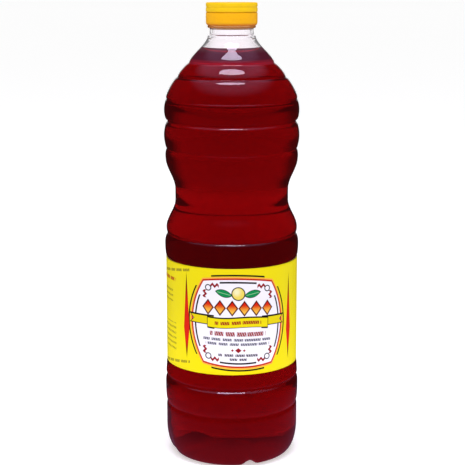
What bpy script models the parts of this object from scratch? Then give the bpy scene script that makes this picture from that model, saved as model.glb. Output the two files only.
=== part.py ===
"""One-litre clear plastic bottle of vinegar with a yellow screw cap and a wrap-round label.

Metres, Z up. The foot stands on z = 0, the axis is the Z axis and the label's front faces -Y.
"""

import math

import bmesh
import bpy
from mathutils import Vector

MM = 0.001

# Every size from here on is in millimetres; outlines are lists of (height, radius) points.
SEGMENTS = 40
MERGE_DISTANCE = 0.01
SHARP_ANGLE = math.radians(40)
FIT_GAP = 0.3

FOOT_INNER_RADIUS = 27.5
FOOT_OUTER_RADIUS = 32.0
PUSH_UP_HEIGHT = 9.0
PUSH_UP_SOFTNESS = 0.8
BASE_RADIUS = 39.0
CORNER_HEIGHT = 17.0

LOBES = 4
VALLEY_TURN = 18.0
VALLEY_HALF_WIDTH = 9.0
VALLEY_LIFT = 3.0
VALLEY_INSET = 0.5
VALLEY_START_RADIUS = 6.0
VALLEY_FULL_RADIUS = 24.0

# A narrow groove rings the foot, and a broad hoop lies between it and the label.
FOOT_GROOVE = ((28.6, BASE_RADIUS), (30.5, 38.55), (32.4, 39.1))
LOW_HOOP_TOP = (46.6, 38.7)
LOW_HOOP_SWELL = 0.6

# The label lies in a shallow recess, which shows as a narrow line above and below it.
PANEL_RADIUS = 38.0
LABEL_BOTTOM = 56.7
LABEL_TOP = 118.7
LABEL_THICKNESS = 0.3
LABEL_REVEAL = 0.5
RECESS_EDGE = 0.4
RECESS_LOW_RADIUS = 38.75
RECESS_HIGH_RADIUS = 38.6

HIGH_HOOP_TOP = (132.5, 38.0)
HIGH_HOOP_SWELL = 0.85
WAIST_LIP = (135.5, 38.2)
WAIST_LOW = (152.5, 32.9)
WAIST_HIGH = (158.5, 32.9)

# The hoops of the shoulder, from the waist upwards: (height, radius) of the groove
# above each hoop, and how far the hoop swells out between its two grooves.
SHOULDER_FOOT = (177.5, 38.45)
SHOULDER_FOOT_GROOVE = (182.3, 37.9)
SHOULDER_FOOT_SWELL = 0.25
SHOULDER_HOOPS = (
    ((198.3, 37.65), 1.45),
    ((211.0, 37.7), 1.35),
    ((223.5, 31.2), 1.35),
    ((231.5, 24.7), 0.85),
)
CONE_TOP = (246.0, 13.75)
CONE_SOFTNESS = 0.5

NECK_RADIUS = 12.45
BORE_RADIUS = 10.85
BORE_BOTTOM = 249.0
BEAD_TOP = 246.9
NECK_START = 247.6
FLANGE_RADIUS = 13.9
FLANGE_BOTTOM = 250.9
FLANGE_TOP = 252.3
MOUTH_HEIGHT = 264.0

BODY_WALL = 0.55
NECK_WALL = 1.9
WALL_GROWS_FROM = 230.0
WALL_GROWS_TO = 243.0
LIQUID_LEVEL = 239.0

CAP_RADIUS = 14.75
CAP_TOP = 265.5
CAP_TOP_ROUND = 0.7
CAP_BOTTOM = 252.7
CAP_SPLIT = 260.0
CAP_GROOVE = 262.9
CAP_GROOVE_DEPTH = 0.3
CAP_GROOVE_HALF_WIDTH = 0.45
CAP_TOP_THICKNESS = 1.2
BAND_ROUND_HEIGHT = 2.0
BAND_ROUND_WIDTH = 1.1

CLEAR_PLASTIC = (0.92, 0.95, 0.96)
VINEGAR_RED = (0.22, 0.004, 0.005)
CAP_YELLOW = (1.0, 0.54, 0.02)
LABEL_YELLOW = (0.93, 0.80, 0.01)


def between(a, b, t):
    return a + (b - a) * t


def hoop(start, end, swell, steps):
    """A stretch of wall from start to end that swells out as half a sine wave."""
    points = []
    for i in range(1, steps + 1):
        t = i / steps
        bulge = swell * math.sin(math.pi * t)
        points.append((between(start[0], end[0], t), between(start[1], end[1], t) + bulge))
    return points


def sweep(start, end, softness, steps):
    """A stretch from start to end, between a straight line (softness 0) and half a cosine wave (1)."""
    points = []
    for i in range(1, steps + 1):
        t = i / steps
        wave = (1 - math.cos(math.pi * t)) / 2
        share = between(t, wave, softness)
        points.append((between(start[0], end[0], t), between(start[1], end[1], share)))
    return points


def quarter_round(start, end, steps):
    """A quarter of an ellipse that leaves start along the radius and reaches end along the axis."""
    points = []
    for i in range(1, steps + 1):
        angle = math.pi / 2 * i / steps
        height = between(start[0], end[0], 1 - math.cos(angle))
        radius = between(start[1], end[1], math.sin(angle))
        points.append((height, radius))
    return points


def body_outline(fine):
    """The bottle's outside from the middle of its base up to the top of the cone under the neck.

    Without fine, each curve has fewer points: the wall's inner face needs no more.
    """
    curve = 4 if fine else 2
    long_curve = 5 if fine else 4
    path = [(PUSH_UP_HEIGHT, 0.0)]
    path += sweep(path[-1], (0.0, FOOT_INNER_RADIUS), PUSH_UP_SOFTNESS, 4)
    path.append((0.0, FOOT_OUTER_RADIUS))
    path += quarter_round(path[-1], (CORNER_HEIGHT, BASE_RADIUS), long_curve)

    path += FOOT_GROOVE
    path += hoop(path[-1], LOW_HOOP_TOP, LOW_HOOP_SWELL, curve)

    recess_low = LABEL_BOTTOM - LABEL_REVEAL
    recess_high = LABEL_TOP + LABEL_REVEAL
    path += [(recess_low - RECESS_EDGE, RECESS_LOW_RADIUS), (recess_low, PANEL_RADIUS)]
    path += [(recess_high, PANEL_RADIUS), (recess_high + RECESS_EDGE, RECESS_HIGH_RADIUS)]

    path += hoop(path[-1], HIGH_HOOP_TOP, HIGH_HOOP_SWELL, curve)
    path.append(WAIST_LIP)
    path += sweep(WAIST_LIP, WAIST_LOW, 1.0, long_curve)
    path += [WAIST_HIGH] + sweep(WAIST_HIGH, SHOULDER_FOOT, 1.0, long_curve)

    path += hoop(SHOULDER_FOOT, SHOULDER_FOOT_GROOVE, SHOULDER_FOOT_SWELL, 2)
    for groove, swell in SHOULDER_HOOPS:
        path += hoop(path[-1], groove, swell, curve)
    path += sweep(path[-1], CONE_TOP, CONE_SOFTNESS, long_curve)
    return path


def inward(before, point, after, distance):
    """The point moved into the wall by distance, at right angles to the path through its neighbours."""
    normals = []
    for a, b in ((before, point), (point, after)):
        run = Vector((b[0] - a[0], b[1] - a[1])).normalized()
        normals.append(Vector((-run.y, run.x)))
    mean = (normals[0] + normals[1]).normalized()
    step = distance / mean.dot(normals[0])
    return (point[0] - mean.x * step, point[1] - mean.y * step)


def wall_at(height):
    """The wall's thickness: even in the body, thicker up the cone to the neck."""
    t = (height - WALL_GROWS_FROM) / (WALL_GROWS_TO - WALL_GROWS_FROM)
    t = min(max(t, 0.0), 1.0)
    return between(BODY_WALL, NECK_WALL, t * t)


def inner_outline(extra):
    """The inside of the wall from the middle of the base to the cone's top, extra further in."""
    path = body_outline(fine=False)
    before = [(path[1][0], -path[1][1])] + path[:-1]
    after = path[1:] + [(path[-1][0] + 1.0, path[-1][1])]
    moved = []
    for previous, point, following in zip(before, path, after):
        moved.append(inward(previous, point, following, wall_at(point[0]) + extra))
    return moved


def lobed(point):
    """Presses the radial valleys of the base into a turned point, which is in metres."""
    height = point.z / MM
    radius = math.hypot(point.x, point.y) / MM
    if height >= CORNER_HEIGHT or radius < VALLEY_START_RADIUS:
        return point
    turn = math.degrees(math.atan2(point.x, -point.y)) - VALLEY_TURN
    spacing = 360.0 / LOBES
    off = abs((turn + spacing / 2) % spacing - spacing / 2)
    if off >= VALLEY_HALF_WIDTH:
        return point
    valley = (1 + math.cos(math.pi * off / VALLEY_HALF_WIDTH)) / 2
    out = (radius - VALLEY_START_RADIUS) / (VALLEY_FULL_RADIUS - VALLEY_START_RADIUS)
    down = 1 - height / CORNER_HEIGHT
    lift = VALLEY_LIFT * valley * min(out, 1.0) * down ** 3
    inset = VALLEY_INSET * valley * min(out, 1.0) * math.sin(math.pi * down)
    shrink = (radius - inset) / radius
    return Vector((point.x * shrink, point.y * shrink, point.z + lift * MM))


def material(name, colour, roughness, transmission=0.0, ior=1.5):
    made = bpy.data.materials.new(name)
    made.use_nodes = True
    shader = made.node_tree.nodes["Principled BSDF"]
    shader.inputs["Base Color"].default_value = (*colour, 1.0)
    shader.inputs["Roughness"].default_value = roughness
    shader.inputs["Metallic"].default_value = 0.0
    shader.inputs["Transmission Weight"].default_value = transmission
    shader.inputs["IOR"].default_value = ior
    made.diffuse_color = (*colour, 1.0)
    return made


def spun(name, outline, look, ring=False, reshape=None):
    """A solid spun round the Z axis from an outline that starts and ends on the axis, or from a ring's."""
    shape = bmesh.new()
    verts = [shape.verts.new((radius * MM, 0.0, height * MM)) for height, radius in outline]
    pairs = list(zip(verts, verts[1:]))
    if ring:
        pairs.append((verts[-1], verts[0]))
    edges = [shape.edges.new(pair) for pair in pairs]
    bmesh.ops.spin(
        shape,
        geom=verts + edges,
        cent=(0.0, 0.0, 0.0),
        axis=(0.0, 0.0, 1.0),
        angle=2 * math.pi,
        steps=SEGMENTS,
    )
    bmesh.ops.remove_doubles(shape, verts=shape.verts, dist=MERGE_DISTANCE * MM)
    if reshape:
        for vert in shape.verts:
            vert.co = reshape(vert.co)
        # The twisted faces that this leaves split the same way in the wall and in the drink.
        bmesh.ops.triangulate(shape, faces=shape.faces, quad_method="SHORT_EDGE")
    bmesh.ops.recalc_face_normals(shape, faces=shape.faces)
    mesh = bpy.data.meshes.new(name)
    shape.to_mesh(mesh)
    shape.free()
    mesh.shade_smooth()
    mesh.set_sharp_from_angle(angle=SHARP_ANGLE)
    mesh.materials.append(look)
    made = bpy.data.objects.new(name, mesh)
    bpy.context.scene.collection.objects.link(made)
    return made


def make_bottle():
    outside = body_outline(fine=True)
    outside += [
        (BEAD_TOP, CONE_TOP[1]),
        (NECK_START, NECK_RADIUS),
        (FLANGE_BOTTOM, NECK_RADIUS),
        (FLANGE_BOTTOM, FLANGE_RADIUS),
        (FLANGE_TOP, FLANGE_RADIUS),
        (FLANGE_TOP, NECK_RADIUS),
        (MOUTH_HEIGHT, NECK_RADIUS),
    ]
    inside = inner_outline(0.0)
    inside += [(BORE_BOTTOM, BORE_RADIUS), (MOUTH_HEIGHT, BORE_RADIUS)]
    look = material("clear_plastic", CLEAR_PLASTIC, 0.04, transmission=1.0, ior=1.57)
    return spun("bottle", outside + inside[::-1], look, reshape=lobed)


def make_vinegar():
    """The drink, FIT_GAP inside the wall, cut off level at its surface."""
    side = inner_outline(FIT_GAP)
    below = [point for point in side if point[0] < LIQUID_LEVEL]
    above = side[len(below)]
    t = (LIQUID_LEVEL - below[-1][0]) / (above[0] - below[-1][0])
    edge = (LIQUID_LEVEL, between(below[-1][1], above[1], t))
    look = material("vinegar_red", VINEGAR_RED, 0.02, transmission=0.6, ior=1.34)
    return spun("vinegar", below + [edge, (LIQUID_LEVEL, 0.0)], look, reshape=lobed)


def make_cap(look):
    """The upper part of the cap: a shallow groove round its side, and hollow over the neck."""
    bore = NECK_RADIUS + FIT_GAP
    rim = CAP_RADIUS - CAP_TOP_ROUND
    bottom = CAP_SPLIT + FIT_GAP / 2
    ceiling = CAP_TOP - CAP_TOP_THICKNESS
    outline = [(CAP_TOP, 0.0), (CAP_TOP, rim)]
    outline += quarter_round((CAP_TOP, rim), (CAP_TOP - CAP_TOP_ROUND, CAP_RADIUS), 2)
    outline += [
        (CAP_GROOVE + CAP_GROOVE_HALF_WIDTH, CAP_RADIUS),
        (CAP_GROOVE, CAP_RADIUS - CAP_GROOVE_DEPTH),
        (CAP_GROOVE - CAP_GROOVE_HALF_WIDTH, CAP_RADIUS),
        (bottom, CAP_RADIUS),
        (bottom, bore),
        (ceiling, bore),
        (ceiling, 0.0),
    ]
    return spun("cap", outline, look)


def make_tamper_band(look):
    bore = NECK_RADIUS + FIT_GAP
    top = CAP_SPLIT - FIT_GAP / 2
    low = (CAP_BOTTOM, CAP_RADIUS - BAND_ROUND_WIDTH)
    rounded = quarter_round(low, (CAP_BOTTOM + BAND_ROUND_HEIGHT, CAP_RADIUS), 3)
    outline = [(top, CAP_RADIUS)] + rounded[::-1] + [low, (CAP_BOTTOM, bore), (top, bore)]
    return spun("tamper_band", outline, look, ring=True)


def make_label():
    inner = PANEL_RADIUS + FIT_GAP
    outer = inner + LABEL_THICKNESS
    outline = [
        (LABEL_TOP, outer),
        (LABEL_BOTTOM, outer),
        (LABEL_BOTTOM, inner),
        (LABEL_TOP, inner),
    ]
    look = material("label_paper", LABEL_YELLOW, 0.35)
    return spun("label", outline, look, ring=True)


for old in list(bpy.data.objects):
    bpy.data.objects.remove(old, do_unlink=True)

cap_plastic = material("cap_plastic", CAP_YELLOW, 0.4)
make_bottle()
make_vinegar()
make_cap(cap_plastic)
make_tamper_band(cap_plastic)
make_label()
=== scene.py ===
import math

import bpy
import numpy as np
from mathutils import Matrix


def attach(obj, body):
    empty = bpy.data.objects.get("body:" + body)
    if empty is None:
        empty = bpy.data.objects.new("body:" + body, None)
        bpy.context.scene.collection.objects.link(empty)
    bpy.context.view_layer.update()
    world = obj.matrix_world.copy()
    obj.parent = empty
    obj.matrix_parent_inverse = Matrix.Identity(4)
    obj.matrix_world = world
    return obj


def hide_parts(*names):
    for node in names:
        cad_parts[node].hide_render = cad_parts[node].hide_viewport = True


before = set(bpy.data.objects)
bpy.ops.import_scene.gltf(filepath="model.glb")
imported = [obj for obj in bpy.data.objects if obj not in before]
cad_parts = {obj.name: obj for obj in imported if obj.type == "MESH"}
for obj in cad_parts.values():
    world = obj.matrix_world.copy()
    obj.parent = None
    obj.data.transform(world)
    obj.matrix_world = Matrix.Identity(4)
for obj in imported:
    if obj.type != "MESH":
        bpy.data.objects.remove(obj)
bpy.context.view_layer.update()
mm = 0.001
print("frame loaded:", sorted(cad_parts))


# Shader maths: a Wire is one output socket, and sums and products of wires add Math nodes.
class Wire:
    def __init__(self, tree, socket):
        self.tree = tree
        self.socket = socket

    def maths(self, operation, *others, clamped=False):
        made = self.tree.nodes.new("ShaderNodeMath")
        made.operation = operation
        made.use_clamp = clamped
        for place, item in enumerate((self,) + others):
            join(self.tree, item, made.inputs[place])
        return Wire(self.tree, made.outputs[0])

    def __add__(self, other):
        return self.maths("ADD", other)

    def __radd__(self, other):
        return self.maths("ADD", other)

    def __sub__(self, other):
        return self.maths("SUBTRACT", other)

    def __rsub__(self, other):
        return self.maths("MULTIPLY_ADD", -1.0, other)

    def __mul__(self, other):
        return self.maths("MULTIPLY", other)

    def __rmul__(self, other):
        return self.maths("MULTIPLY", other)

    def __abs__(self):
        return self.maths("ABSOLUTE")

    def scaled(self, factor, offset):
        return self.maths("MULTIPLY_ADD", factor, offset)

    def least(self, other):
        return self.maths("MINIMUM", other)

    def most(self, other):
        return self.maths("MAXIMUM", other)

    def sine(self):
        return self.maths("SINE")

    def inked(self, edge=0.16, scale=1.0):
        # A distance in mm, below 0 inside a shape, becomes 1 inside and 0 outside.
        return self.maths("MULTIPLY_ADD", -scale / edge, 0.5, clamped=True)

    def ramp(self, low, high, start=0.0, end=1.0):
        # start below low, end above high, and smooth between.
        made = addNode(self.tree, "ShaderNodeMapRange", {"interpolation_type": "SMOOTHSTEP"},
                       Value=self, From_Min=low, From_Max=high, To_Min=start, To_Max=end)
        return Wire(self.tree, made.outputs[0])


def join(tree, item, socket):
    # Puts a number, a colour or a wire into an input socket.
    if isinstance(item, Wire):
        tree.links.new(item.socket, socket)
    else:
        socket.default_value = item


def addNode(tree, kind, settings=None, **sockets):
    # A node's type, its settings, then the value or wire of each named input.
    made = tree.nodes.new(kind)
    for name, value in (settings or {}).items():
        setattr(made, name, value)
    for name, item in sockets.items():
        join(tree, item, made.inputs[name.replace("_", " ")])
    return made


def blend(tree, factor, first, second):
    # A colour that runs from first to second as factor goes from 0 to 1.
    made = addNode(tree, "ShaderNodeMix", {"data_type": "RGBA"})
    for place, item in ((0, factor), (6, first), (7, second)):
        join(tree, item, made.inputs[place])
    return Wire(tree, made.outputs[2])


def newMaterial(name, **values):
    made = bpy.data.materials.new(name)
    made.use_nodes = True
    shader = made.node_tree.nodes["Principled BSDF"]
    for key, value in values.items():
        shader.inputs[key.replace("_", " ")].default_value = value
    return made, made.node_tree, shader


def placeOf(tree):
    # Object coordinates in mm: x, y and z, and the vector itself in metres.
    coords = addNode(tree, "ShaderNodeTexCoord")
    vector = Wire(tree, coords.outputs["Object"])
    apart = addNode(tree, "ShaderNodeSeparateXYZ", None, Vector=vector)
    x, y, z = (Wire(tree, apart.outputs[k]) * 1000.0 for k in range(3))
    return x, y, z, vector


def noise(tree, vector, scale, detail=2.0, stretch=(1, 1, 1)):
    # Soft noise from 0 to 1; stretch squeezes it along each axis.
    squeezed = addNode(tree, "ShaderNodeMapping", None, Vector=vector, Scale=stretch)
    made = addNode(tree, "ShaderNodeTexNoise", None, Vector=Wire(tree, squeezed.outputs[0]),
                   Scale=scale, Detail=detail)
    return Wire(tree, made.outputs[0])


def bump(tree, shader, height, strength, distance):
    made = addNode(tree, "ShaderNodeBump", None, Height=height, Strength=strength, Distance=distance)
    tree.links.new(made.outputs[0], shader.inputs["Normal"])


def ink(red, green, blue, light=1.12):
    # A printed colour, 0 to 255 as seen, as the linear base colour that the studio light brings to it.
    return tuple(((c / 255 + 0.055) / 1.055) ** 2.4 / light for c in (red, green, blue)) + (1.0,)


# Outlines are lists of (height, radius) in mm.
def hoop(start, end, swell, fullness=0.72, steps=80):
    # The straight line plus swell times half a sine wave, raised to the fullness, on the radius.
    t = np.arange(1, steps + 1) / steps
    path = (1 - t)[:, None] * start + t[:, None] * np.array(end)
    path[:, 1] += swell * np.maximum(np.sin(np.pi * t), 0) ** fullness
    return path


def sweep(start, end, softness, steps=48):
    # Height runs evenly; the radius mixes a straight line with half a cosine wave by softness.
    t = np.arange(1, steps + 1) / steps
    share = (1 - softness) * t + softness * (1 - np.cos(np.pi * t)) / 2
    height = start[0] + (end[0] - start[0]) * t
    return np.stack([height, start[1] + (end[1] - start[1]) * share], axis=1)


def quarterRound(start, end, steps=24):
    # A quarter of an ellipse: radius by the sine, height by one minus the cosine.
    a = np.pi / 2 * np.arange(1, steps + 1) / steps
    height = start[0] + (end[0] - start[0]) * (1 - np.cos(a))
    return np.stack([height, start[1] + (end[1] - start[1]) * np.sin(a)], axis=1)


def resample(path, spacing, fine=None):
    # Points spaced evenly along the path, or crowded to the fine spacing round each groove:
    # the number of rows per mm is a bell curve of the height from the groove.
    run = np.concatenate([[0], np.cumsum(np.hypot(*np.diff(path, axis=0).T))])
    rows = np.full(len(path), 1 / spacing)
    if fine:
        for height in [groove[0] for groove in grooves] + [bottle["crease"][0]]:
            near = np.exp(-0.5 * ((path[:, 0] - height) / bottle["fineReach"]) ** 2)
            rows = np.maximum(rows, near / fine)
    counted = np.concatenate([[0], np.cumsum((rows[1:] + rows[:-1]) / 2 * np.diff(run))])
    at = np.linspace(0, counted[-1], max(int(round(counted[-1])), 2) + 1)
    return np.stack([np.interp(at, counted, path[:, 0]), np.interp(at, counted, path[:, 1])], axis=1)


def soften(path, spread, spacing=0.2):
    # Rounds the path's corners: a bell-shaped running mean along its length, ends kept.
    fine = resample(path, spacing)
    reach = int(4 * spread / spacing)
    bell = np.exp(-0.5 * (np.arange(-reach, reach + 1) * spacing / spread) ** 2)
    bell /= bell.sum()
    first = 2 * fine[0] - fine[1:reach + 1][::-1]
    last = 2 * fine[-1] - fine[-reach - 1:-1][::-1]
    padded = np.concatenate([first, fine, last])
    return np.stack([np.convolve(padded[:, k], bell, "valid") for k in (0, 1)], axis=1)


def shifted(path, distance):
    # Moves each point into the wall, at right angles to the path, by distance there.
    run = np.gradient(path, axis=0)
    run /= np.hypot(run[:, 0], run[:, 1])[:, None]
    normal = np.stack([-run[:, 1], run[:, 0]], axis=1)
    return path - normal * np.broadcast_to(distance, len(path))[:, None]


def turned(name, path, segments, closed=False, reshape=None):
    # Turns the outline round the Z axis: x = r sin a, y = -r cos a, z = height.
    # An outline that starts or ends on the axis gets one vertex there; a closed one joins its ends.
    # Faces point outwards when the sum of radius squared times rise is positive, or it is reversed.
    following = np.roll(path, -1, axis=0)
    rise = following[:, 0] - path[:, 0]
    if ((following[:, 1] ** 2 + path[:, 1] ** 2) * rise).sum() < 0:
        path = path[::-1]
    startPole = path[0, 1] < 1e-6
    endPole = path[-1, 1] < 1e-6
    rows = path[int(startPole):len(path) - int(endPole)]
    a = 2 * np.pi * np.arange(segments) / segments
    grid = np.stack([
        rows[:, 1:2] * np.sin(a),
        -rows[:, 1:2] * np.cos(a),
        rows[:, 0:1] + 0 * a,
    ], axis=2).reshape(-1, 3)
    if reshape:
        grid = reshape(grid)
    count = len(rows)
    i = np.arange(count if closed else count - 1)[:, None]
    j = np.arange(segments)[None, :]
    nextRow = (i + 1) % count
    nextCol = (j + 1) % segments
    quads = np.stack([
        i * segments + j,
        i * segments + nextCol,
        nextRow * segments + nextCol,
        nextRow * segments + j,
    ], axis=2).reshape(-1, 4)
    points = [grid]
    loops = [quads.ravel()]
    sizes = [np.full(len(quads), 4)]
    ring = np.arange(segments)
    used = len(grid)
    if startPole:
        points.append([[0.0, 0.0, path[0, 0]]])
        fan = np.stack([np.full(segments, used), np.roll(ring, -1), ring], axis=1)
        loops.append(fan.ravel())
        sizes.append(np.full(segments, 3))
        used += 1
    if endPole:
        last = (count - 1) * segments + ring
        points.append([[0.0, 0.0, path[-1, 0]]])
        fan = np.stack([np.full(segments, used), last, np.roll(last, -1)], axis=1)
        loops.append(fan.ravel())
        sizes.append(np.full(segments, 3))
    points = np.concatenate(points) * mm
    loops = np.concatenate(loops)
    sizes = np.concatenate(sizes)
    mesh = bpy.data.meshes.new(name)
    mesh.vertices.add(len(points))
    mesh.vertices.foreach_set("co", points.astype(np.float32).ravel())
    mesh.loops.add(len(loops))
    mesh.loops.foreach_set("vertex_index", loops.astype(np.int32))
    mesh.polygons.add(len(sizes))
    starts = np.concatenate([[0], np.cumsum(sizes)[:-1]])
    mesh.polygons.foreach_set("loop_start", starts.astype(np.int32))
    mesh.update(calc_edges=True)
    mesh.shade_smooth()
    made = bpy.data.objects.new(name, mesh)
    bpy.context.scene.collection.objects.link(made)
    return made


def standsFor(piece, node, slot, *materials):
    for material in materials:
        piece.data.materials.append(material)
    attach(piece, "root")
    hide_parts(node)


def paintFaces(piece, finishOf):
    # Gives each face the material whose number finishOf works out from its middle and normal.
    middle = np.empty(3 * len(piece.data.polygons), np.float32)
    piece.data.polygons.foreach_get("center", middle)
    facing = np.empty_like(middle)
    piece.data.polygons.foreach_get("normal", facing)
    index = finishOf(middle.reshape(-1, 3) / mm, facing.reshape(-1, 3))
    piece.data.polygons.foreach_set("material_index", index.astype(np.int32))


bottle = {
    "segments": 144,
    "rowSpacing": 1.15,
    "fineSpacing": 0.27,
    "fineReach": 1.1,
    "edgeSoftness": 0.35,
    # The foot: its push-up, flat ring, rounded corner and four valleys.
    "pushUp": 9.0,
    "footInner": 27.5,
    "footOuter": 32.0,
    "corner": (17.0, 39.0),
    "lobes": 4,
    "valleyTurn": 18.0,
    "valleyHalfWidth": 9.5,
    "valleyLift": 2.7,
    "valleyInset": 0.5,
    "valleyFrom": 6.0,
    "valleyGrows": 18.0,
    # The wall's places, each a height and a radius.
    "footNotch": ((28.6, 39.0), (30.5, 38.55), (32.4, 39.1)),
    "recess": ((55.8, 38.75), (56.2, 38.0), (119.2, 38.0), (119.6, 38.6)),
    "underWaist": ((132.5, 38.75), (135.5, 38.4)),
    "waist": ((152.5, 32.9), (158.5, 32.9)),
    "overWaist": (177.5, 38.45),
    "coneTop": (246.0, 13.75),
    # Each hoop: its top end, swell and fullness, then the depth and width of the groove there.
    "baseHoop": ((46.6, 39.3), 0.27, 0.72, 1.42, 0.8),
    "hoops": (((182.3, 37.9), 0.25, 0.72, 0.3, 0.5), ((198.3, 37.7), 1.4, 1.0, 0.77, 0.78),
              ((211.0, 37.7), 1.35, 0.75, 0.28, 0.45), ((223.5, 31.2), 1.35, 0.5, 0.3, 0.45),
              ((231.5, 24.7), 0.85, 0.72, 0.22, 0.45)),
    "lowHoopSwell": 0.5,
    # Height, depth and width of the foot's groove and of the sharp crease under the waist.
    "footGroove": (30.5, 0.15, 0.5),
    "crease": (132.5, 1.5, 1.35),
    "creaseRounding": 0.12,
    # The bead, neck, ring and mouth.
    "bead": ((246.3, 13.8), (246.9, 13.7)),
    "beadSoftness": 0.28,
    "neckRadius": 12.45,
    "neckRows": (247.8, 250.7, 252.7),
    "ring": ((251.2, 12.8), (251.25, 13.5), (251.5, 13.8), (252.4, 13.8), (252.62, 13.6), (252.66, 12.8)),
    "ringPaint": (250.8, 252.7, 13.0),
    "mouth": 264.0,
    "mouthRadii": (12.1, 11.2),
    "mouthRound": 0.3,
    "boreRadius": 10.85,
    "boreRows": (252.0, 249.0),
    "wall": 0.55,
    "neckWall": 1.9,
    "wallGrows": (234.0, 246.0),
    "liquidLevel": 239.0,
    "clearIor": 1.4,
    "tint": (0.985, 0.955, 0.98),
    # A painted glow, lit by no lamp, on the wall from just above the vinegar up: its strength, heights and
    # tint.
    "glow": 0.035,
    "glowFrom": (237.0, 241.0),
    "glowTint": (1, 0.97, 1),
    # Each noise has its scale and detail, and some a stretch. Each bump has its strength and distance.
    "ripple": (60.0, 2.0, (1, 1, 0.5)),
    "rippleGloss": (0.012, 0.01),
    "rippleBump": (0.06, 0.0004),
    "ringMottle": (220.0, 2.0),
    "neckFlare": 0.1,
    "beadSpacing": 0.12,
    "insideCoarser": (1.5, 2),
    # The dark and light colours of the ring's painted reflection of the cap.
    "ringCapReflection": ((0.50, 0.15, 0.02), (0.72, 0.27, 0.06)),
}
# Each groove's height, depth and width: the foot's, then the one at the top of each hoop.
grooves = [bottle["footGroove"]] + [
    (shape[0][0],) + shape[3:] for shape in (bottle["baseHoop"],) + bottle["hoops"]]

vinegar = {
    "intoWall": 0.2,
    "meniscusRise": 1.3,
    "meniscusReach": 1.8,
    "surfaceNear": (0.15, 8.0, 40),
    "surfaceFar": (8.5, 14),
    "coarser": 1.5,
    "surfaceBelow": 0.5,
    "surfaceInside": 0.05,
    "drifts": (18.0, 2.0, (1, 1, 3)),
    "driftDepth": (0.5, -0.1),
    "darker": 0.72,
    "darkerTop": (168.0, 218.0, 0.0, 0.7),
    "darkerFoot": (40.0, 72.0, 0.75, 0.0),
    "tint": (0.36, 0.008, 0.009),
    "absorb": (12.0, 40.0, 40.0),
    "ior": 1.34,
    # Painted glows, lit by no lamp: the body's, the foot's, a red band under the top and a lilac painted
    # reflection at the top.
    "glow": (0.028, 0.0005, 0.0012),
    "footGlow": (0.07, 0.0015, 0.003),
    "footGlowTo": (9.0, 22.0),
    "redGlow": (0.18, 0.0115, 0.026),
    "redGlowFrom": (230.5, 231.5),
    "topPaintedReflection": (0.07, 0.0115, 0.026),
    "topPaintedReflectionFrom": (233.0, 234.3),
}


def lobed(points):
    # Presses the radial valleys of the base: a raised-cosine dent across each valley's angle,
    # growing with the radius and fading with the cube of the height.
    radius = np.hypot(points[:, 0], points[:, 1])
    safe = np.maximum(radius, 1e-6)
    turn = np.degrees(np.arctan2(points[:, 0], -points[:, 1])) - bottle["valleyTurn"]
    spacing = 360.0 / bottle["lobes"]
    off = np.abs((turn + spacing / 2) % spacing - spacing / 2)
    valley = 0.5 + 0.5 * np.cos(np.pi * np.minimum(off / bottle["valleyHalfWidth"], 1))
    out = np.clip((radius - bottle["valleyFrom"]) / bottle["valleyGrows"], 0, 1)
    down = np.clip(1 - points[:, 2] / bottle["corner"][0], 0, 1)
    inset = bottle["valleyInset"] * valley * out * np.sin(np.pi * down)
    shrink = 1 - inset / safe
    lift = bottle["valleyLift"] * valley * out * down ** 3
    return np.stack([points[:, 0] * shrink, points[:, 1] * shrink, points[:, 2] + lift], axis=1)


def grooved(path):
    # Presses a narrow ring into the wall at each groove's height, as a bell curve of the height.
    pressed = path.copy()
    for height, depth, width in grooves:
        pressed[:, 1] -= depth * np.exp(-0.5 * ((path[:, 0] - height) / width) ** 2)
    # The crease falls off as an exponential of the distance from it, with its point rounded.
    height, depth, width = bottle["crease"]
    rounding = bottle["creaseRounding"]
    away = np.hypot(path[:, 0] - height, rounding) - rounding
    pressed[:, 1] -= depth * np.exp(-away / width)
    return pressed


def bodyOutline():
    # The outside of the wall from the middle of the base up to the top of the cone.
    path = np.array([[bottle["pushUp"], 0.0]])

    def add(stretch):
        nonlocal path
        path = np.concatenate([path, np.atleast_2d(np.array(stretch, float))])

    add(sweep(path[-1], (0.0, bottle["footInner"]), 0.8))
    add((0.0, bottle["footOuter"]))
    add(quarterRound(path[-1], bottle["corner"]))
    add(bottle["footNotch"])
    add(hoop(path[-1], *bottle["baseHoop"][:3]))
    add(bottle["recess"])
    add(hoop(path[-1], bottle["underWaist"][0], bottle["lowHoopSwell"]))
    add(bottle["underWaist"][1])
    add(sweep(path[-1], bottle["waist"][0], 1.0))
    add(bottle["waist"][1])
    add(sweep(path[-1], bottle["overWaist"], 1.0))
    for hoopShape in bottle["hoops"]:
        add(hoop(path[-1], *hoopShape[:3]))
    add(sweep(path[-1], bottle["coneTop"], 0.5))
    return path


def wallAt(height):
    # The wall's thickness, which grows up the cone with the square of the way up.
    t = (height - bottle["wallGrows"][0]) / (bottle["wallGrows"][1] - bottle["wallGrows"][0])
    return bottle["wall"] + (bottle["neckWall"] - bottle["wall"]) * np.clip(t, 0, 1) ** 2


outside = grooved(soften(bodyOutline(), bottle["edgeSoftness"]))
outside[0, 1] = 0.0


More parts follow.
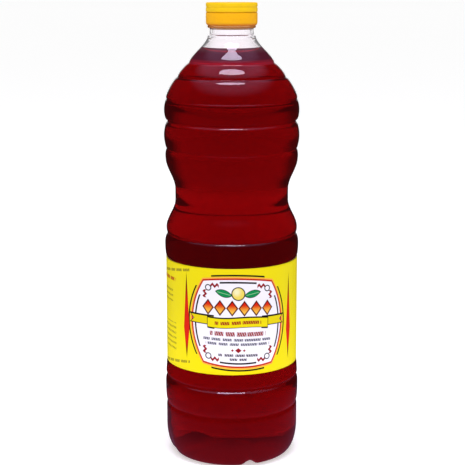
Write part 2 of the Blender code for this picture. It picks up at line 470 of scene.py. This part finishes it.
def makeBottle():
    # The outside, the neck with its bead and ring, the mouth, then the inside back down.
    neck, mouth, bore = bottle["neckRadius"], bottle["mouth"], bottle["boreRadius"]
    neckFrom, underRing, overRing = bottle["neckRows"]
    lip = mouth - bottle["mouthRound"]
    flared = neck + bottle["neckFlare"]
    root = np.array([outside[-1], *bottle["bead"], (neckFrom, flared), (underRing, neck)])
    top = np.concatenate([
        soften(root, bottle["beadSoftness"], bottle["beadSpacing"])[1::2],
        bottle["ring"],
        [(overRing, neck), (lip, neck)],
        [(mouth, radius) for radius in bottle["mouthRadii"]],
        [(height, bore) for height in (lip,) + bottle["boreRows"]],
    ])
    inside = shifted(outside, wallAt(outside[:, 0]))
    inside[0, 1] = 0.0
    coarser, fineCoarser = bottle["insideCoarser"]
    inner = resample(inside, bottle["rowSpacing"] * coarser, bottle["fineSpacing"] * fineCoarser)
    inner[0, 1] = 0.0
    outer = resample(outside, bottle["rowSpacing"], bottle["fineSpacing"])
    made = turned("clear_bottle", np.concatenate([outer, top, inner[::-1]]), bottle["segments"],
                  reshape=lobed)
    firstInner = (len(outer) + len(top)) * bottle["segments"]
    wetTop = bottle["liquidLevel"] + vinegar["meniscusRise"]
    order = np.arange(len(made.data.polygons))

    def finishOf(middle, facing):
        # 1 on the wet inside, whose faces come after the mouth's, and 2 on the ring under the cap.
        quads = len(order) - 2 * bottle["segments"]
        inner = (order >= firstInner) & (order < quads) | (order >= quads + bottle["segments"])
        height, away = middle[:, 2], np.hypot(middle[:, 0], middle[:, 1])
        low, high, out = bottle["ringPaint"]
        onRing = (height > low) & (height < high) & (away > out)
        return inner & (height < wetTop) | 2 * onRing

    paintFaces(made, finishOf)
    return made


clearPlastic, tree, shader = newMaterial(
    "clearPlastic", Base_Color=bottle["tint"] + (1,), IOR=bottle["clearIor"], Transmission_Weight=1.0,
    Emission_Strength=1.0)
z, vector = placeOf(tree)[2:]
ripple = noise(tree, vector, *bottle["ripple"])
join(tree, ripple.scaled(*bottle["rippleGloss"]), shader.inputs["Roughness"])
# A painted glow, lit by no lamp, makes the dry wall above the vinegar faintly lilac-white.
glow = z.ramp(*bottle["glowFrom"], end=bottle["glow"])
join(tree, blend(tree, glow, (0, 0, 0, 1), bottle["glowTint"] + (1,)), shader.inputs["Emission Color"])
bump(tree, shader, ripple, *bottle["rippleBump"])
# The wet wall lets light straight through on its inner side, as vinegar against plastic
# has almost no gloss; the bend is all at the outer side.
wetPlastic, tree, shader = newMaterial(
    "wetPlastic", Base_Color=(1, 1, 1, 1), Roughness=0.0, IOR=1.0, Transmission_Weight=1.0, Alpha=0.0)
# The ring's colour is a painted reflection of the cap above it and of the shade under the cap's edge.
ringPlastic, tree, shader = newMaterial(
    "ringPlastic", IOR=bottle["clearIor"], Transmission_Weight=0.55, Roughness=0.12)
darkRing, lightRing = (colour + (1,) for colour in bottle["ringCapReflection"])
mottle = noise(tree, placeOf(tree)[-1], *bottle["ringMottle"])
join(tree, blend(tree, mottle, darkRing, lightRing), shader.inputs["Base Color"])
standsFor(makeBottle(), "bottle", "clear_plastic", clearPlastic, wetPlastic, ringPlastic)
print("bottle made")


def makeVinegar():
    # The inside of the wall moved a little into it, cut at the level, and closed by the
    # surface, which climbs the wall as an exponential of the distance from it.
    side = shifted(outside, wallAt(outside[:, 0]) - vinegar["intoWall"])
    side[0, 1] = 0.0
    keep = side[:, 0] < bottle["liquidLevel"] + vinegar["meniscusRise"]
    side = resample(side[:np.argmin(keep)], bottle["rowSpacing"], bottle["fineSpacing"] * vinegar["coarser"])
    side[0, 1] = 0.0
    edge = side[-1, 1]
    farFrom, farRows = vinegar["surfaceFar"]
    off = np.concatenate([np.linspace(*vinegar["surfaceNear"]), np.linspace(farFrom, edge, farRows)])
    rise = vinegar["meniscusRise"] * np.exp(-off / vinegar["meniscusReach"])
    surface = np.stack([bottle["liquidLevel"] + rise, edge - off], axis=1)
    surface[-1, 1] = 0.0
    made = turned("red_vinegar", np.concatenate([side, surface]), bottle["segments"], reshape=lobed)
    # The open surface, inside its wet edge, takes the second finish.
    low, out = bottle["liquidLevel"] - vinegar["surfaceBelow"], edge - vinegar["surfaceInside"]
    paintFaces(made, lambda middle, facing: (middle[:, 2] > low) & (facing[:, 2] > 0.5)
               & (np.hypot(middle[:, 0], middle[:, 1]) < out))
    return made


def vinegarFinish(name, ior):
    # The tint is a little deeper towards the shoulder and the foot, with faint drifts of colour.
    made, tree, shader = newMaterial(
        name, Roughness=0.0, IOR=ior, Transmission_Weight=1.0, Emission_Strength=1.0)
    z, vector = placeOf(tree)[2:]
    drift = noise(tree, vector, *vinegar["drifts"]).scaled(*vinegar["driftDepth"])
    deeper = z.ramp(*vinegar["darkerTop"]) + z.ramp(*vinegar["darkerFoot"]) + drift
    dark = tuple(vinegar["darker"] * c for c in vinegar["tint"])
    join(tree, blend(tree, deeper, vinegar["tint"] + (1,), dark + (1,)), shader.inputs["Base Color"])
    # A faint painted glow, lit by no lamp, stands for light that the cloudy vinegar scatters. It is stronger
    # at the foot, and near the top a painted red band gives way to a lilac painted reflection of the bright
    # room overhead. In layers from the foot up, each takes over from the one below.
    glow = blend(tree, z.ramp(*vinegar["footGlowTo"]), vinegar["footGlow"] + (1,), vinegar["glow"] + (1,))
    for part in ("redGlow", "topPaintedReflection"):
        glow = blend(tree, z.ramp(*vinegar[part + "From"]), glow, vinegar[part] + (1,))
    join(tree, glow, shader.inputs["Emission Color"])
    density = max(vinegar["absorb"])
    colour = tuple(1 - a / density for a in vinegar["absorb"]) + (1,)
    absorption = addNode(tree, "ShaderNodeVolumeAbsorption", None, Color=colour, Density=density)
    tree.links.new(absorption.outputs[0], tree.nodes["Material Output"].inputs["Volume"])
    return made


standsFor(makeVinegar(), "vinegar", "vinegar_red", vinegarFinish("redVinegar", 1.0),
          vinegarFinish("vinegarSurface", vinegar["ior"]))
print("vinegar made")


cap = {
    "segments": 192,
    "radius": 14.75,
    "top": 265.5,
    "bottom": 252.7,
    "split": 260.0,
    "gap": 0.42,
    "lap": 0.5,
    "lapInset": 0.45,
    "stepInset": 0.3,
    "bore": 12.75,
    "skin": 1.2,
    "topFlat": 3.0,
    "topRound": 0.8,
    "groove": 262.9,
    # Heights from the groove or from the edge at the gap, and how far each point is sunk.
    "grooveShape": ((0.6, 0.0), (0.4, 0.05), (0.12, 0.3), (-0.12, 0.3), (-0.4, 0.05), (-0.6, 0.0)),
    "edgeShape": ((0.2, 0.0), (0.05, 0.06), (0.0, 0.2)),
    "footRound": (2.0, 1.1),
    "mottle": (260.0, 3.0, (1, 1, 2)),
    "shade": 0.86,
    "spots": (0.45, 0.75, 0.0, 0.35),
    "gloss": (0.16, 0.30),
    "grain": (900.0, 2.0),
    "grainBump": (0.12, 0.0002),
    # Heights where painted shade takes over: at the cap's edge by the gap, and on the band's lower rim.
    "capGapShadeFrom": (260.2, 260.9),
    "bandRimShadeFrom": (253.0, 254.4),
    "capColour": (255, 209, 14),
    "bandColour": (255, 186, 12),
    "rimShadeColour": (226, 132, 30),
}


def makeCap():
    # A shell with a groove, whose lower edge laps inside the band so that no light shows through.
    r, top, groove, low = cap["radius"], cap["top"], cap["groove"], cap["split"] + cap["gap"] / 2
    lapLow, lapOut, roof, bore = low - cap["lap"], r - cap["lapInset"], top - cap["skin"], cap["bore"]
    rim = top, r - cap["topRound"]
    path = np.concatenate([
        [(top, 0.0), (top, r - cap["topFlat"]), rim],
        quarterRound(rim, (top - cap["topRound"], r), 10),
        [(groove + up, r - sunk) for up, sunk in cap["grooveShape"]],
        [(low + up, r - sunk) for up, sunk in cap["edgeShape"]],
        [(low, lapOut), (lapLow, lapOut), (lapLow, bore), (roof, bore), (roof, 0.0)],
    ])
    return turned("cap_top", path, cap["segments"])


def makeBand():
    # A ring with a rounded lower edge and a step inside its top for the cap's lap.
    r, high, bottom, bore = cap["radius"], cap["split"] - cap["gap"] / 2, cap["bottom"], cap["bore"]
    stepLow, stepOut = high - cap["lap"], r - cap["stepInset"]
    rise, inset = cap["footRound"]
    low = (bottom, r - inset)
    path = np.concatenate([
        [(high - up, r - sunk) for up, sunk in cap["edgeShape"][::-1]],
        quarterRound(low, (bottom + rise, r), 12)[::-1],
        [low, (bottom, bore), (stepLow, bore), (stepLow, stepOut), (high, stepOut)],
    ])
    return turned("cap_band", path, cap["segments"], closed=True)


def moulded(name, colour, lowColour, fade):
    # Moulded plastic: its own colour, a second colour painted as shade below a height, faint random mottling
    # and a fine skin.
    made, tree, shader = newMaterial(name, IOR=1.5, Specular_IOR_Level=0.15)
    z, vector = placeOf(tree)[2:]
    cloud = noise(tree, vector, *cap["mottle"])
    body = blend(tree, z.ramp(*fade), ink(*lowColour), ink(*colour))
    shade = tuple(cap["shade"] * c for c in ink(*colour)[:3]) + (1,)
    spots = cloud.ramp(*cap["spots"])
    join(tree, blend(tree, spots, body, shade), shader.inputs["Base Color"])
    join(tree, cloud.scaled(*cap["gloss"]), shader.inputs["Roughness"])
    bump(tree, shader, noise(tree, vector, *cap["grain"]), *cap["grainBump"])
    return made


# The cap's lower edge by the gap takes the band's deeper colour as painted shade in the gap.
capPlastic = moulded("capPlastic", cap["capColour"], cap["bandColour"], cap["capGapShadeFrom"])
# The band's rounded lower rim turns brown-orange as painted shade under it.
bandPlastic = moulded("bandPlastic", cap["bandColour"], cap["rimShadeColour"], cap["bandRimShadeFrom"])
standsFor(makeCap(), "cap", "cap_plastic", capPlastic)
standsFor(makeBand(), "tamper_band", "cap_plastic", bandPlastic)
print("cap made")


label = {
    "segments": 192,
    "rows": 40,
    "inner": 38.3,
    "outer": 38.6,
    "bottom": 56.7,
    "top": 118.7,
    "seam": (117.0, 0.25),
    "seamDepth": 0.5,
    "softEdge": 0.3,
    "cloud": (40.0, 3.0),
    "cloudDepth": (0.5, 0.0),
    "gloss": (0.12, 0.30),
    "film": (45.0, 2.0, (1, 1, 0.35)),
    "filmBump": (0.18, 0.0009),
    "backCloud": (60.0, 3.0),
    "backColours": ((0.72, 0.68, 0.38), (0.86, 0.80, 0.44)),
    # Painted light: how much brighter the inks are painted at the label's foot, and the heights over which
    # it fades.
    "paintedFootLight": 1.17,
    "paintedFootLightTo": (0.0, 48.0),
    # The white panel.
    "middle": (3.8, 30.4),
    "lean": 0.035,
    "halfWidth": 20.4,
    "halfHeight": 23.9,
    "sideBulge": 7.3,
    "topBulge": 1.85,
    # Lines that follow the panel's edge: distance outside it, half width, and for an arc its reach.
    "orangeLine": (0.85, 0.42),
    "redLine": (0.0, 0.48),
    "sideArcs": ((2.4, 0.48, 20.3), (-2.1, 0.5, 15.2)),
    "endArcs": ((2.1, 0.48, 15.6), (-2.0, 0.5, 10.6)),
    # Zigzags: distance from the panel's middle, depth, half width, then middle and reach along it.
    "zigzagPitch": 1.35,
    "levelZigzag": (20.75, 1.15, 0.82, 13.6, 2.5),
    "uprightZigzag": (18.8, 1.0, 0.8, 16.3, 2.3),
    "corner": (17.4, 20.0),
    "cornerRing": (1.9, 1.3),
    "lozengeAt": 33.6,
    "lozengeShift": 1.5,
    "lozengeSize": (2.2, 33.0, 18.0),
    "lozengeMiddle": -6.0,
    "lozengeTips": (0.4, 0.85),
    "gemHeight": 8.7,
    "gemPitch": 7.0,
    "gemSize": (3.5, 4.7),
    "gemRow": 21.0,
    "gemEdge": 0.72,
    "gemFade": (-2.8, 2.2),
    "sprigHeight": 17.2,
    "fruit": 3.4,
    "fruitEdge": 0.6,
    "fruitShine": (-1.0, 1.1),
    "fruitShineFade": (0.4, 3.6),
    "leaf": (8.3, 4.5, 1.9),
    "leafSlant": 0.22,
    "leafEdge": 0.35,
    "leafVein": (0.16, 0.5),
    "ribbonHeight": 0.1,
    "ribbonHalf": (17.8, 2.6),
    "ribbonWave": (0.17, 0.4, 0.5),
    "ribbonEdge": (0.25, 0.6, 0.35),
    "ribbonFold": ((15.8, -2.4), (2.1, 1.1)),
    "ribbonRow": ((0.0, 0.0), (13.6, 0.95), 3.3),
    "tailHalf": (28.6, 2.2),
    "tailRaise": 0.9,
    "tailEdge": (0.25, 0.75, 0.5),
    "tailFrom": 14.0,
    # Strokes: the waves of the long and short runs of a row, and of its two layers of slanted strokes.
    "runWaves": (1.05, 1.9, 0.6),
    "runSharpness": (3.0, 3.4),
    "strokeWaves": ((4.6, 1.9), (7.4, 2.6), 0.7),
    "strokeFaint": 0.4,
    "strokeEdge": 0.25,
    # Rows of strokes: middle, half length and half height, seed of its pattern, ink.
    "panelRows": (((0.0, -6.4), (16.4, 1.25), 0.4, "rowRed"), ((0.0, -9.8), (20.5, 0.75), 2.1, "grey"),
                  ((0.0, -12.4), (19.0, 0.75), 4.4, "grey"), ((0.0, -18.9), (11.5, 0.75), 1.2, "darkGrey"),
                  ((0.0, -21.3), (5.0, 0.7), 5.2, "darkGrey")),
    "markHeight": -15.9,
    "markSize": (1.5, 0.8),
    "markSteep": 0.8,
    "dotAt": 3.4,
    "sideRows": (((-40.0, 57.6), (14.0, 0.8), 0.7), ((-40.0, 3.4), (14.0, 0.8), 3.1)),
    "sideSlope": 0.15,
    "sideHeadline": ((-47.0, 52.0), (9.0, 1.0), 1.7),
    "sideBlocks": (((-55.0, 17.5), (17.0, 8.8)), ((-55.0, 42.5), (13.5, 4.2))),
    "sidePitch": 3.1,
    "sideStripe": 0.6,
    "sideShift": 3.3,
    "sideSeed": 0.9,
    "sideDepth": 0.85,
    "yellow": (242, 225, 2),
    "lightYellow": (250, 234, 16),
    "seamBrown": (150, 130, 10),
    "panelWhite": (250, 248, 255),
    "red": (196, 34, 6),
    "orange": (255, 168, 74),
    "black": (28, 20, 22),
    "darkRed": (150, 12, 26),
    "rowRed": (150, 4, 16),
    "grey": (88, 88, 108),
    "darkGrey": (70, 60, 80),
    "olive": (150, 138, 30),
    "headlineRed": (186, 60, 20),
    "lozengeRed": (222, 30, 0),
    "tipBrown": (110, 32, 0),
    "gemBrown": (96, 12, 6),
    "flame": (255, 196, 70),
    "green": (16, 146, 78),
    "paleGreen": (150, 214, 160),
    "cream": (250, 244, 190),
    "gold": (246, 222, 96),
    "tail": (236, 216, 6),
    "ribbonRed": (166, 34, 20),
}


def makeLabel():
    # A thin sleeve: the outer face down, then the inner face up.
    heights = np.linspace(label["top"], label["bottom"], label["rows"] + 1)
    outer = np.stack([heights, np.full(len(heights), label["outer"])], axis=1)
    path = np.concatenate([outer, [(label["bottom"], label["inner"]), (label["top"], label["inner"])]])
    return turned("printed_label", path, label["segments"], closed=True)


def inkOf(name):
    return ink(*label[name])


class Print:
    # Inks laid one over the other. u runs right and v up from the label's front, both in mm.
    def __init__(self, tree, u, v, ground):
        self.tree = tree
        self.u = u
        self.v = v
        self.colour = ground

    def lay(self, mask, colour):
        # The colour is the name of an ink in the label's dictionary, or a wire.
        if isinstance(colour, str):
            colour = inkOf(colour)
        self.colour = blend(self.tree, mask, self.colour, colour)

    def bar(self, u, v, middle, half):
        # Inside where |u - u0| < hu and |v - v0| < hv.
        wide = abs(u - middle[0]) - half[0]
        high = abs(v - middle[1]) - half[1]
        return wide.most(high)

    def ring(self, u, v, middle):
        # The distance of (u, v) from the middle.
        here = addNode(self.tree, "ShaderNodeCombineXYZ", None, X=u, Y=v)
        away = addNode(self.tree, "ShaderNodeVectorMath", {"operation": "DISTANCE"})
        join(self.tree, Wire(self.tree, here.outputs[0]), away.inputs[0])
        join(self.tree, tuple(middle) + (0.0,), away.inputs[1])
        return Wire(self.tree, away.outputs["Value"])

    def words(self, u, v, seed):
        # Long and short runs with gaps between, from two sine waves, broken into small slanted strokes.
        longRun, shortRun, weight = label["runWaves"]
        runs = u.scaled(longRun, seed).sine() + u.scaled(shortRun, 2 * seed).sine() * weight
        runs = runs.scaled(*label["runSharpness"]).least(1.0).most(0.0)
        coarse, fine, weight = label["strokeWaves"]
        first = (u * coarse[0] + v * coarse[1]).scaled(1.0, seed).sine()
        second = (u * fine[0] - v * fine[1]).scaled(1.0, 0.5 * seed).sine()
        strokes = (first + second * weight).scaled(weight, 1.0)
        return runs * strokes.least(1.0).most(label["strokeFaint"])

    def line(self, u, v, middle, half, seed, colour):
        # One row of strokes.
        mask = self.bar(u, v, middle, half).inked(label["strokeEdge"])
        self.lay(mask * self.words(u, v, seed), colour)

    def lens(self, u, v, middle, half):
        # Two circles' overlap: each has radius R = (hu * hu + hv * hv) / 2 hv, R - hv off the middle.
        radius = (half[0] ** 2 + half[1] ** 2) / (2 * half[1])
        off = radius - half[1]
        above = self.ring(u, v, (middle[0], middle[1] + off))
        below = self.ring(u, v, (middle[0], middle[1] - off))
        return above.most(below) - radius


def printFront(sheet):
    # The panel's own coordinates: from its middle, level with its lean.
    u = sheet.u - label["middle"][0]
    v = (sheet.v - label["middle"][1]) + u * label["lean"]
    side, height = abs(u), abs(v)
    halfWidth = (v * v).scaled(-label["sideBulge"] / label["halfHeight"] ** 2,
                               label["halfWidth"] + label["sideBulge"])
    halfHeight = (u * u).scaled(-label["topBulge"] / label["halfWidth"] ** 2,
                                label["halfHeight"] + label["topBulge"])
    outWide = side - halfWidth
    outHigh = height - halfHeight
    out = outWide.most(outHigh)
    sheet.lay(out.inked(), "panelWhite")
    for colour in ("orange", "red"):
        away, half = label[colour + "Line"]
        sheet.lay((abs(out - away) - half).inked(), colour)
    for edge, along, arcs in ((outWide, height, "sideArcs"), (outHigh, side, "endArcs")):
        for away, half, reach in label[arcs]:
            sheet.lay((abs(edge - away) - half).most(along - reach).inked(), "black")
    # A black ring in each corner, between two red zigzags that run along the panel's edges.
    for across, along, zigzag in ((height, side, "levelZigzag"), (side, height, "uprightZigzag")):
        away, depth, half, middle, reach = label[zigzag]
        level = across - away - along.maths("PINGPONG", label["zigzagPitch"]) * depth
        sheet.lay((abs(level) - half).most(abs(along - middle) - reach).inked(), "darkRed")
    away = sheet.ring(side, height, label["corner"])
    for radius, colour in zip(label["cornerRing"], ("black", "panelWhite")):
        sheet.lay((away - radius).inked(), colour)
    # A tall red lozenge with brown tips on each side of the panel, widest below its middle.
    wide, above, below = label["lozengeSize"]
    rise = v - label["lozengeMiddle"]
    tall = (rise * (1 / above)).most(rise * (-1 / below))
    lozenge = abs(abs(u - label["lozengeShift"]) - label["lozengeAt"]).scaled(1 / wide, -1.0) + tall
    tips = blend(sheet.tree, tall.ramp(*label["lozengeTips"]), inkOf("lozengeRed"), inkOf("tipBrown"))
    sheet.lay(lozenge.inked(scale=wide), tips)
    return u, v, side


def printGems(sheet, u, v, side):
    # A row of lozenges with dark edges, each red at its top and yellow at its foot.
    pitch, (wide, tall), middle = label["gemPitch"], label["gemSize"], label["gemHeight"]
    slot = u.maths("FLOORED_MODULO", pitch) - pitch / 2
    apart = 1 / math.hypot(1 / wide, 1 / tall)
    gem = (abs(slot) * (1 / wide) + abs(v - middle) * (1 / tall)).scaled(apart, -apart)
    gem = gem.most(side - label["gemRow"])
    sheet.lay(gem.inked(), "gemBrown")
    flame = blend(sheet.tree, (v - middle).ramp(*label["gemFade"]), inkOf("flame"), inkOf("lozengeRed"))
    sheet.lay((gem + label["gemEdge"]).inked(), flame)


def printSprig(sheet, u, v, side):
    # A round yellow fruit between two green leaves that slant up and outwards.
    up = v - label["sprigHeight"]
    middle, half, thick = label["leaf"]
    leafUp = up - (side - middle) * label["leafSlant"]
    leaf = sheet.lens(side, leafUp, (middle, 0.0), (half, thick))
    sheet.lay((leaf - label["leafEdge"]).inked(), "black")
    sheet.lay(leaf.inked(), "green")
    veinHalf, veinInset = label["leafVein"]
    sheet.lay((abs(leafUp) - veinHalf).most(leaf + veinInset).inked(), "paleGreen")
    away = sheet.ring(u, up, (0.0, 0.0))
    sheet.lay((away - label["fruit"] - label["fruitEdge"]).inked(), "black")
    shine = sheet.ring(u, up, label["fruitShine"]).ramp(*label["fruitShineFade"])
    sheet.lay((away - label["fruit"]).inked(), blend(sheet.tree, shine, inkOf("cream"), inkOf("gold")))


def printRibbon(sheet, u, v, side):
    # A waved middle over two tails with notched ends, and black folds where they meet.
    up = v - label["ribbonHeight"] - label["tailRaise"]
    reach, half = label["tailHalf"]
    inner = label["tailFrom"] - side
    end = side - abs(up) - (reach - half)
    raised, high, wide = label["tailEdge"]
    edge = (abs(up - raised) - half - high).most(end - wide)
    sheet.lay(edge.most(inner).inked(), "black")
    sheet.lay((abs(up) - half).most(end).most(inner).inked(), "tail")
    reach, half = label["ribbonHalf"]
    pitch, start, rise = label["ribbonWave"]
    wave = v - label["ribbonHeight"] - u.scaled(pitch, start).sine() * rise
    raised, high, wide = label["ribbonEdge"]
    sheet.lay(sheet.bar(side, wave, *label["ribbonFold"]).inked(), "black")
    sheet.lay((abs(wave - raised) - half - high).most(side - reach - wide).inked(), "black")
    sheet.lay((abs(wave) - half).most(side - reach).inked(), "yellow")
    sheet.line(u, wave, *label["ribbonRow"], "ribbonRed")


def printRows(sheet, u, v, side):
    # Rows of strokes below the ribbon, and among them a diamond between two dots.
    for row in label["panelRows"]:
        sheet.line(u, v, *row)
    away = abs(v - label["markHeight"])
    diamond, dot = label["markSize"]
    mark = (side * label["markSteep"] + away - diamond).least(abs(side - label["dotAt"]) + away - dot)
    sheet.lay(mark.inked(), "darkRed")


def printSide(sheet):
    # Rows of strokes down the left of the label, and one near its top edge and one near its bottom.
    u, v = sheet.u, sheet.v
    for middle, half, seed in label["sideRows"]:
        tilted = v - (u - middle[0]) * label["sideSlope"]
        sheet.line(u, tilted, middle, half, seed, "olive")
    sheet.line(u, v, *label["sideHeadline"], "headlineRed")
    rows = v.maths("FLOORED_MODULO", label["sidePitch"]) - label["sidePitch"] / 2
    first, second = (sheet.bar(u, v, *block) for block in label["sideBlocks"])
    stripe = (abs(rows) - label["sideStripe"]).most(first.least(second)).inked(label["softEdge"])
    # Each row starts at another place in the pattern.
    words = sheet.words(u + v * label["sideShift"], rows, label["sideSeed"])
    sheet.lay(stripe * words * label["sideDepth"], "olive")


def labelFinish():
    made, tree, shader = newMaterial("labelFilm", IOR=1.45, Specular_IOR_Level=0.1)
    x, y, z, vector = placeOf(tree)
    u = x.maths("ARCTAN2", -1.0 * y) * label["outer"]
    v = z - label["bottom"]
    cloud = noise(tree, vector, *label["cloud"])
    ground = blend(tree, cloud.scaled(*label["cloudDepth"]), inkOf("yellow"), inkOf("lightYellow"))
    sheet = Print(tree, u, v, ground)
    seamAt, seamHalf = label["seam"]
    seam = (abs(abs(u) - seamAt) - seamHalf).inked(label["softEdge"])
    sheet.lay(seam * label["seamDepth"], "seamBrown")
    printSide(sheet)
    across, up, side = printFront(sheet)
    for printPart in (printGems, printSprig, printRibbon, printRows):
        printPart(sheet, across, up, side)
    # The inks are painted brighter towards the foot of the label: painted light where the lamp overhead
    # lights it less.
    paintedFootLight = addNode(tree, "ShaderNodeVectorMath", {"operation": "SCALE"}, Vector=sheet.colour,
                      Scale=v.ramp(*label["paintedFootLightTo"], label["paintedFootLight"], 1.0))
    join(tree, Wire(tree, paintedFootLight.outputs["Vector"]), shader.inputs["Base Color"])
    join(tree, cloud.scaled(*label["gloss"]), shader.inputs["Roughness"])
    bump(tree, shader, noise(tree, vector, *label["film"]), *label["filmBump"])
    return made


def labelBackFinish():
    # The uncoated side, seen through the vinegar, with a faint painted glow, lit by no lamp, for light that
    # reaches it through the bottle.
    made, tree, shader = newMaterial("labelBack", Roughness=0.5, Emission_Strength=0.12,
                                     Emission_Color=(1.0, 0.9, 0.6, 1))
    cloud = noise(tree, placeOf(tree)[-1], *label["backCloud"])
    dull, pale = (colour + (1,) for colour in label["backColours"])
    join(tree, blend(tree, cloud, dull, pale), shader.inputs["Base Color"])
    return made


labelPiece = makeLabel()
standsFor(labelPiece, "label", "label_paper", labelFinish(), labelBackFinish())
# The inner face, which looks towards the axis, takes the second finish.
paintFaces(labelPiece, lambda middle, facing: (middle * facing)[:, :2].sum(axis=1) < -1.0)
print("label made")


studio = {
    "sensor": 36.0,
    "lens": 100.18,
    "cameraPlace": (0.00046, -0.747, 0.280),
    "cameraTilt": 78.8,
    "floorHalf": 20.0,
    "world": 0.95,
    "overhead": 0.5,
    "overheadFrom": (0.25, 0.6),
    "mirroredFront": 0.01,
    "mirroredBehind": 0.9,
    "mirroredBehindFrom": (0.93, 0.99),
    "mirroredAbove": (0.82, 0.60, 1.05),
    "mirroredAboveFrom": (0.6, 0.92),
    "floorGlow": 0.45,
    "floorMirrored": (0.10, 0.065, 0.12),
    "floorMirroredTo": (0.05, 0.19),
    "cardRight": 0.96,
    "cardLeft": 0.8,
    "cardFrom": (0.47, 0.76),
    "cardLow": (0.0, 0.08),
    "cardHigh": (0.6, 0.8),
    "softbox": 14.0,
    "softboxColour": (0.95, 0.86, 1.12),
    "softboxSize": (0.68, 0.34),
    "softboxPlace": (0.0, -0.25, 1.2),
    "softboxAim": (0.0, 0.0, 0.2),
}


def flatPiece(name, corners, material):
    mesh = bpy.data.meshes.new(name)
    mesh.from_pydata([tuple(c) for c in corners], [], [tuple(range(len(corners)))])
    mesh.materials.append(material)
    made = bpy.data.objects.new(name, mesh)
    bpy.context.scene.collection.objects.link(made)
    return made


def mirrored(tree):
    # 1 for a ray that a glossy surface has reflected, so that the gloss doesn't wash out the red.
    path = tree.nodes.new("ShaderNodeLightPath")
    return Wire(tree, path.outputs["Is Glossy Ray"]) * Wire(tree, path.outputs["Is Reflection Ray"])


def makeFloor():
    # White, and in the bottle's gloss bright only close to its foot.
    made, tree, shader = newMaterial(
        "floorPaint", Base_Color=(0.9, 0.9, 0.9, 1), Roughness=0.9, Specular_IOR_Level=0.0,
        Emission_Color=(1, 1, 1, 1), Emission_Strength=studio["floorGlow"])
    out = addNode(tree, "ShaderNodeVectorMath", {"operation": "LENGTH"}, Vector=placeOf(tree)[-1])
    near = Wire(tree, out.outputs["Value"]).ramp(*studio["floorMirroredTo"], 1.0, 0.0)
    dark = (studio["mirroredFront"],) * 3 + (1,)
    colour = blend(tree, near, dark, studio["floorMirrored"] + (1,))
    dim = addNode(tree, "ShaderNodeEmission", None, Color=colour, Strength=1.0)
    both = addNode(tree, "ShaderNodeMixShader", None, Fac=mirrored(tree))
    tree.links.new(shader.outputs[0], both.inputs[1])
    tree.links.new(dim.outputs[0], both.inputs[2])
    tree.links.new(both.outputs[0], tree.nodes["Material Output"].inputs["Surface"])
    half = studio["floorHalf"]
    flatPiece("floor", [(-half, -half, 0), (half, -half, 0), (half, half, 0), (-half, half, 0)], made)


def greyOf(tree, level):
    made = addNode(tree, "ShaderNodeCombineXYZ", None, X=level, Y=level, Z=level)
    return Wire(tree, made.outputs[0])


def makeWorld():
    world = bpy.data.worlds.new("studio")
    bpy.context.scene.world = world
    world.use_nodes = True
    tree = world.node_tree
    background = tree.nodes["Background"]
    place = addNode(tree, "ShaderNodeTexCoord")
    apart = addNode(tree, "ShaderNodeSeparateXYZ", None, Vector=Wire(tree, place.outputs["Generated"]))
    right, back, up = (Wire(tree, apart.outputs[k]) for k in range(3))
    seen = up.ramp(*studio["overheadFrom"], studio["world"], studio["overhead"])
    # Dark cards stand on each side, and only the light that the bottle bends shows them.
    path = tree.nodes.new("ShaderNodeLightPath")
    cardRight = right.ramp(*studio["cardFrom"], 0.0, studio["cardRight"])
    cardLeft = (-1.0 * right).ramp(*studio["cardFrom"], 0.0, studio["cardLeft"])
    tall = up.ramp(*studio["cardLow"]) * up.ramp(*studio["cardHigh"], 1.0, 0.0)
    cards = (cardRight + cardLeft) * tall * Wire(tree, path.outputs["Is Transmission Ray"])
    # The bottle's gloss mirrors a dark room, bright far behind and lilac overhead.
    behind = back.ramp(*studio["mirroredBehindFrom"], studio["mirroredFront"], studio["mirroredBehind"])
    overhead = up.ramp(*studio["mirroredAboveFrom"])
    gloss = blend(tree, overhead, greyOf(tree, behind), studio["mirroredAbove"] + (1,))
    colour = blend(tree, mirrored(tree), greyOf(tree, seen * (1 - cards)), gloss)
    join(tree, colour, background.inputs["Color"])
    background.inputs["Strength"].default_value = 1.0


def makeSoftbox():
    lamp = bpy.data.lights.new("softbox", "AREA")
    lamp.shape = "ELLIPSE"
    lamp.size, lamp.size_y = studio["softboxSize"]
    lamp.energy = studio["softbox"] * math.pi ** 2 / 4 * lamp.size * lamp.size_y
    lamp.color = studio["softboxColour"]
    made = bpy.data.objects.new("softbox", lamp)
    made.location = studio["softboxPlace"]
    aim = np.subtract(studio["softboxAim"], studio["softboxPlace"])
    made.rotation_euler = (math.atan2(aim[1], -aim[2]), 0, 0)
    bpy.context.scene.collection.objects.link(made)


def makeCamera():
    lens = bpy.data.cameras.new("camera")
    lens.sensor_width = studio["sensor"]
    lens.lens = studio["lens"]
    made = bpy.data.objects.new("camera", lens)
    made.location = studio["cameraPlace"]
    made.rotation_euler = (math.radians(studio["cameraTilt"]), 0, 0)
    bpy.context.scene.collection.objects.link(made)
    bpy.context.scene.camera = made


makeFloor()
makeWorld()
makeSoftbox()
makeCamera()
bpy.context.scene.view_settings.view_transform = "Standard"
print("studio made")
